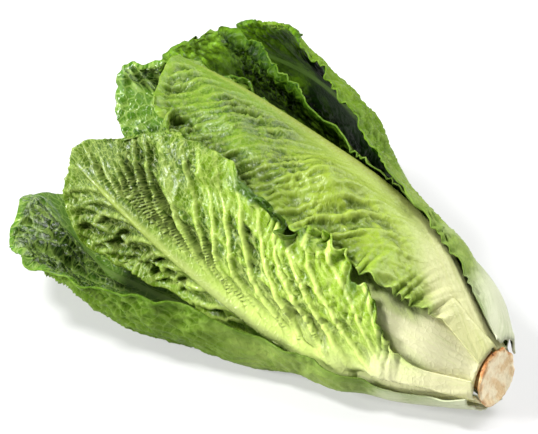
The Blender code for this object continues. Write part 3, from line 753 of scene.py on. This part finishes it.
class Nodes:
    """short calls for a node tree"""

    def __init__(self, name):
        self.material = bpy.data.materials.new(name)
        self.material.use_nodes = True
        self.tree = self.material.node_tree
        self.tree.nodes.clear()

    def node(self, kind, **values):
        made = self.tree.nodes.new(kind)
        for key, value in values.items():
            setattr(made, key, value)
        return made

    def put(self, socket, value):
        if isinstance(value, bpy.types.NodeSocket):
            self.tree.links.new(value, socket)
        else:
            socket.default_value = value

    def field(self, name, vector=False):
        """stored attribute of the mesh"""
        made = self.node("ShaderNodeAttribute", attribute_name=name)
        return made.outputs["Vector" if vector else "Fac"]

    def mix(self, share, a, b):
        made = self.node("ShaderNodeMix", data_type="RGBA")
        colours = [s for s in made.inputs if s.type == "RGBA"]
        self.put(made.inputs[0], share)
        for socket, colour in zip(colours, (a, b)):
            self.put(socket, colour if isinstance(colour, bpy.types.NodeSocket) else (*colour, 1))
        return [s for s in made.outputs if s.type == "RGBA"][0]

    def math(self, operation, a, b, c=0.):
        made = self.node("ShaderNodeMath", operation=operation)
        for socket, value in zip(made.inputs, (a, b, c)):
            self.put(socket, value)
        return made.outputs[0]

    def times(self, a, b):
        return self.math("MULTIPLY", a, b)

    def fit(self, value, low, high, to_low=0., to_high=1.):
        """smooth step from one pair of limits to the other"""
        made = self.node("ShaderNodeMapRange", interpolation_type="SMOOTHSTEP")
        for socket, number in zip(made.inputs, (value, low, high, to_low, to_high)):
            self.put(socket, number)
        return made.outputs[0]

    def noise(self, vector, scale, detail):
        made = self.node("ShaderNodeTexNoise")
        self.put(made.inputs["Vector"], vector)
        self.put(made.inputs["Scale"], scale)
        self.put(made.inputs["Detail"], detail)
        self.put(made.inputs["Roughness"], .55)
        return made.outputs["Fac"]

    def net(self, vector, scale):
        made = self.node("ShaderNodeTexVoronoi", feature="DISTANCE_TO_EDGE")
        self.put(made.inputs["Vector"], vector)
        self.put(made.inputs["Scale"], scale)
        return made.outputs["Distance"]

    def warped(self, vector, scale, amount):
        """coordinates bent by noise"""
        drift = self.node("ShaderNodeTexNoise")
        self.put(drift.inputs["Vector"], vector)
        self.put(drift.inputs["Scale"], scale)
        shift = self.node("ShaderNodeVectorMath", operation="MULTIPLY_ADD")
        self.put(shift.inputs[0], drift.outputs["Color"])
        self.put(shift.inputs[1], (amount,) * 3)
        self.put(shift.inputs[2], vector)
        return shift.outputs[0]

    def stretch(self, vector, factors):
        made = self.node("ShaderNodeVectorMath", operation="MULTIPLY")
        self.put(made.inputs[0], vector)
        self.put(made.inputs[1], factors)
        return made.outputs[0]

    def bump(self, height, distance, strength):
        made = self.node("ShaderNodeBump")
        self.put(made.inputs["Height"], height)
        self.put(made.inputs["Distance"], distance)
        self.put(made.inputs["Strength"], strength)
        return made.outputs["Normal"]

    def surface(self, colour, roughness, normal, through=None, share=0., shine=.30):
        """finished material, with a share of light let through in one colour"""
        shader = self.node("ShaderNodeBsdfPrincipled")
        self.put(shader.inputs["Base Color"], colour)
        self.put(shader.inputs["Specular IOR Level"], shine)
        self.put(shader.inputs["Roughness"], roughness)
        self.put(shader.inputs["Normal"], normal)
        out = shader.outputs[0]
        if through is not None:
            glow = self.node("ShaderNodeBsdfTranslucent")
            self.put(glow.inputs["Color"], through)
            both = self.node("ShaderNodeMixShader")
            self.put(both.inputs[0], share)
            self.tree.links.new(out, both.inputs[1])
            self.tree.links.new(glow.outputs[0], both.inputs[2])
            out = both.outputs[0]
        end = self.node("ShaderNodeOutputMaterial")
        self.tree.links.new(out, end.inputs["Surface"])
        return self.material


# blade: low, green and tip from the base to the tip, changing at turn and top; light: a painted highlight on
# its high places, with its share changing toward the tip; deep between veins: painted shade in the hollows;
# pale veins, net and strip at the rib, base at its foot; margin; flap where the margin shows its back: its
# darker green with painted shade, and painted shade in the hollows of the crinkled margin; rib and rib_tip;
# shine and roughness; veins: how strong the side veins are from the base to the tip; net: how strong the
# small ones are
TURNS = dict(turn=(.28, .55), top=(.58, .85))
YOUNG = dict(
    TURNS, low=(.14, .26, .004), green=(.068, .168, .002), tip=(.020, .064, .001), tip_highlight=.04,
    light=(.36, .56, .016), hollow_shade=(.005, .028, 0), pale=(.68, .82, .22), base=(.88, .86, .52),
    margin=(.20, .36, .008), back_and_shade=(.030, .095, .002), rib=(.47, .56, .18), rib_tip=(.22, .30, .03),
    shine=.28, rough=.26, veins=(.85, .15), net=.12)
YOUNG_UPPER = dict(
    YOUNG, turn=(.40, .72), low=(.40, .54, .030), green=(.036, .092, .001), tip=(.13, .25, .015),
    tip_highlight=.4, light=(.15, .28, .008), hollow_shade=(.018, .060, .001), pale=(.38, .48, .10),
    base=(.72, .72, .36), margin=(.22, .37, .04), rib=(.28, .33, .06), rib_tip=(.24, .32, .05),
    shine=.3, rough=.32, veins=(.55, .25))
# paler creams of the heart leaves: partly their own colour, partly painted light that lifts them where they
# lie in shade
HEART = dict(YOUNG, pale=(.74, .84, .32), base=(.86, .84, .53), rib=(.80, .82, .46))
MATURE_IN = dict(
    TURNS, low=(.10, .24, .006), green=(.022, .098, .001), tip=(.032, .115, .002), tip_highlight=.45,
    light=(.09, .25, .006), hollow_shade=(.001, .012, 0), pale=(.34, .50, .10), base=(.78, .80, .58),
    margin=(.08, .22, .010), back_and_shade=(.02, .07, .002), rib=(.40, .52, .18), rib_tip=(.16, .30, .04),
    shine=.6, rough=.17, veins=(.8, .85), net=.6)
# the next two tones are painted shade: near-black greens over the inner faces of the tall leaf and the far
# wrapper, which lie in the dark gap beside the upper leaf's midrib, with lighter green only at their tips
TALL_IN_SHADED = dict(
    MATURE_IN, top=(.82, .96), low=(.002, .010, 0), green=(.002, .012, 0), tip=(.36, .68, .03),
    light=(.012, .045, .001), hollow_shade=(0, .004, 0), pale=(.09, .18, .01), base=(.010, .022, .001),
    margin=(.03, .10, .002), rib=(.05, .09, .01), shine=.12, rough=.35, veins=(.4, .6))
FAR_IN_SHADED = dict(TALL_IN_SHADED, top=(.76, .96), tip=(.30, .60, .02), pale=(.006, .02, .001), net=.3)
MATURE_OUT = dict(
    TURNS, low=(.46, .56, .15), green=(.066, .140, 0), tip=(.125, .235, .004), tip_highlight=.45,
    light=(.11, .20, .012), hollow_shade=(.046, .112, .002), pale=(.20, .31, .05), base=(.68, .71, .50),
    margin=(.09, .20, .008), back_and_shade=(.02, .07, .002), rib=(.50, .60, .26), rib_tip=(.22, .34, .08),
    shine=.08, rough=.36, veins=(.4, .5), net=.55)
FAR_OUT = dict(MATURE_OUT, green=(.12, .23, .004), tip=(.17, .31, .008), light=(.19, .32, .02),
               hollow_shade=(.085, .18, .004))
TONES = dict(young=YOUNG, heart=HEART, young_upper=YOUNG_UPPER, mature_in=MATURE_IN, tall_in_shaded=TALL_IN_SHADED,
             far_in_shaded=FAR_IN_SHADED, far_out=FAR_OUT, mature_out=MATURE_OUT)

# tones of the inner and outer face, for the leaves that have their own
OWN_TONES = dict(upper_leaf=("young_upper", "young_upper"), heart_leaf_middle=("heart", "heart"),
                 heart_leaf_under=("heart", "heart"), tall_leaf=("tall_in_shaded", "mature_out"),
                 far_wrapper=("far_in_shaded", "far_out"))


def blade_colour(n, tone, flat, grain, thread):
    """greens along the blade with what lies over them, painted highlight and painted shade among them, the
    last on top
    """
    length, low = n.field("length"), n.field("low")
    along = n.math("MULTIPLY_ADD", n.noise(flat, .9, 4.), .35, n.math("SUBTRACT", length, .17))
    wide_net = n.fit(n.net(n.warped(flat, 1.4, .35), 1.45), .02, .085, 1., 0.)
    # painted highlight on the high places of the relief, its share changing toward the tip
    crest_highlight = n.times(n.fit(low, .5, 0.), n.fit(along, .45, .85, .45, tone["tip_highlight"]))
    foot = n.mix(n.fit(length, .08, .38), tone["base"], tone["pale"])
    layers = [(n.fit(along, *tone["top"]), tone["tip"]),
              (crest_highlight, tone["light"]),
              # painted shade in the hollows where the blade sinks
              (n.times(low, .85), tone["hollow_shade"]),
              (n.times(n.fit(grain, .45, .75), .2), tone["light"]),
              (n.times(n.field("edge"), .6), tone["margin"]),
              (n.times(thread, .22), tone["pale"]),
              (n.times(wide_net, tone["net"]), tone["pale"]),
              (n.times(n.field("near"), n.fit(length, .35, .85, .92, .15)), foot),
              (n.times(n.field("comb"), n.fit(length, .35, .85, .55, .15)), tone["pale"]),
              (n.times(n.field("vein"), n.fit(length, .35, .85, *tone["veins"])), tone["pale"]),
              # margin turned over to show its back, and hollows of the crinkled margin: darker green with
              # painted shade
              (n.times(n.field("back_and_shade"), .9), tone["back_and_shade"])]
    colour = n.mix(n.fit(along, *tone["turn"]), tone["low"], tone["green"])
    for share, over in layers:
        colour = n.mix(share, colour, over)
    return colour


def rib_colour(n, tone, flat):
    """pale at its foot, greener to the tip, with streaks along it"""
    length = n.field("length")
    colour = n.mix(n.fit(length, .05, .42), tone["base"], tone["rib"])
    colour = n.mix(n.fit(length, .45, .95), colour, tone["rib_tip"])
    streak = n.noise(n.stretch(flat, (1.6, .12, 1)), 5., 3.)
    return n.mix(n.times(n.fit(streak, .45, .8), .35), colour, tone["pale"])


def leaf_skin(name, tone):
    n = Nodes(name)
    flat = n.field("flat", True)
    grain = n.noise(flat, 6., 3.)
    thread = n.fit(n.net(n.warped(flat, 3., .16), 3.6), .02, .10, 1., 0.)
    rib = rib_colour(n, tone, flat)
    colour = n.mix(n.times(n.field("rib"), .94), blade_colour(n, tone, flat, grain, thread), rib)
    colour = n.mix(n.field("blade"), rib, colour)
    normal = n.bump(n.math("MULTIPLY_ADD", thread, .5, n.times(grain, .6)), .00035, .6)
    rough = n.fit(grain, .3, .8, tone["rough"] - .07, tone["rough"] + .12)
    return n.surface(colour, rough, normal, colour, .22, tone["shine"])


def cut_skin():
    n = Nodes("cut_face")
    flat, reach = n.field("flat", True), n.field("reach")
    cloud, grain = n.noise(flat, 2.2, 4.), n.noise(flat, 14., 4.)
    colour = n.mix(n.fit(cloud, .40, .62), (.93, .81, .55), (.80, .58, .31))
    colour = n.mix(n.times(n.fit(grain, .5, .8), .5), colour, (.97, .88, .66))
    rim = n.fit(n.math("MULTIPLY_ADD", cloud, .35, reach), 1.05, 1.30)
    colour = n.mix(rim, colour, n.mix(n.fit(cloud, .42, .6), (.66, .40, .17), (.50, .20, .06)))
    specks = n.fit(n.noise(flat, 9., 2.), .60, .70)
    colour = n.mix(n.times(specks, rim), colour, (.16, .06, .02))
    return n.surface(colour, .62, n.bump(grain, .0005, .7))


def floor_skin():
    made = bpy.data.materials.new("floor_white")
    made.use_nodes = True
    shader = made.node_tree.nodes["Principled BSDF"]
    shader.inputs["Base Color"].default_value = (*FLOOR_COLOUR, 1)
    shader.inputs["Roughness"].default_value = .9
    shader.inputs["Emission Color"].default_value = (1, 1, 1, 1)
    shader.inputs["Emission Strength"].default_value = FLOOR_GLOW
    return made


# scene

def stem_shift():
    """where the frame holds the cut end of the axis"""
    low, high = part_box("stem")
    turn = np.arange(24) / 24 * 2 * math.pi
    return np.array([high.x - CUT_SLANT, low.y - (-rim_radius(turn) * np.sin(turn)).min(), -REST_HEIGHT])


def directions(azimuth, elevation):
    """right, up and back of a camera that looks that way"""
    a, e = math.radians(azimuth), math.radians(elevation)
    right = Vector((math.cos(a), math.sin(a), 0))
    up = Vector((-math.sin(a) * math.sin(e), math.cos(a) * math.sin(e), math.cos(e)))
    return right, up, right.cross(up)


def make_camera(stem):
    right, up, back = directions(CAMERA_AZIMUTH, CAMERA_ELEVATION)
    camera = bpy.data.objects.new("camera", bpy.data.cameras.new("camera"))
    bpy.context.scene.collection.objects.link(camera)
    camera.location = stem - right * AIM_LEFT + up * AIM_UP + back * CAMERA_DISTANCE
    camera.rotation_mode = "QUATERNION"
    camera.rotation_quaternion = back.to_track_quat("Z", "Y")
    camera.data.lens = camera.data.sensor_width * CAMERA_DISTANCE / VIEW_WIDTH
    bpy.context.scene.camera = camera


def softbox(name, aim, offset, size, power):
    light = bpy.data.lights.new(name, "AREA")
    light.shape = "DISK"
    light.size = size
    light.energy = power
    made = bpy.data.objects.new(name, light)
    bpy.context.scene.collection.objects.link(made)
    made.location = aim + offset
    made.rotation_mode = "QUATERNION"
    made.rotation_quaternion = offset.to_track_quat("Z", "Y")


def make_studio(aim):
    world = bpy.data.worlds.new("studio")
    bpy.context.scene.world = world
    world.use_nodes = True
    world.node_tree.nodes["Background"].inputs["Color"].default_value = (1, 1, 1, 1)
    world.node_tree.nodes["Background"].inputs["Strength"].default_value = WORLD_LIGHT
    right, up, back = directions(CAMERA_AZIMUTH, 0)
    for name, (to_right, to_up, to_back), size, power in LIGHTS:
        softbox(name, aim, right * to_right + up * to_up + back * to_back, size, power)
    corners = [(x * FLOOR_REACH, y * FLOOR_REACH, 0) for x, y in ((-1, -1), (1, -1), (1, 1), (-1, 1))]
    floor_mesh = bpy.data.meshes.new("floor")
    floor_mesh.from_pydata(corners, [], [(0, 1, 2, 3)])
    floor_mesh.materials.append(floor_skin())
    floor = bpy.data.objects.new("floor", floor_mesh)
    bpy.context.scene.collection.objects.link(floor)
    bpy.context.scene.view_settings.view_transform = "Standard"


def main():
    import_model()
    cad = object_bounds()
    shift = stem_shift()
    stem = stem_piece(shift)
    stem.data.materials.append(cut_skin())
    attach(stem, "root")
    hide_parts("stem")
    skins = {key: leaf_skin(key, tone) for key, tone in TONES.items()}
    s = np.arange(MAP_S) / (MAP_S - 1) * MAP_REACH
    grid = np.tile(core_radius(s), (MAP_AZ, 1))
    for number, leaf in enumerate(LEAVES):
        inner, outer, fields, flat = faces_of(leaf, number, grid)
        taken(grid, between(outer))
        name = leaf["name"]
        piece = leaf_piece(name + "_fine", inner, outer, fields, flat, shift)
        usual = ("mature_in", "mature_out") if leaf.get("mature") else ("young", "young")
        for key in OWN_TONES.get(name, usual):
            piece.data.materials.append(skins[key])
        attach(piece, "root")
        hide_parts(name)
    low, high = cad
    make_camera(Vector(shift) + Vector((0, 0, AXIS_HEIGHT)))
    make_studio((low + high) / 2)


main()
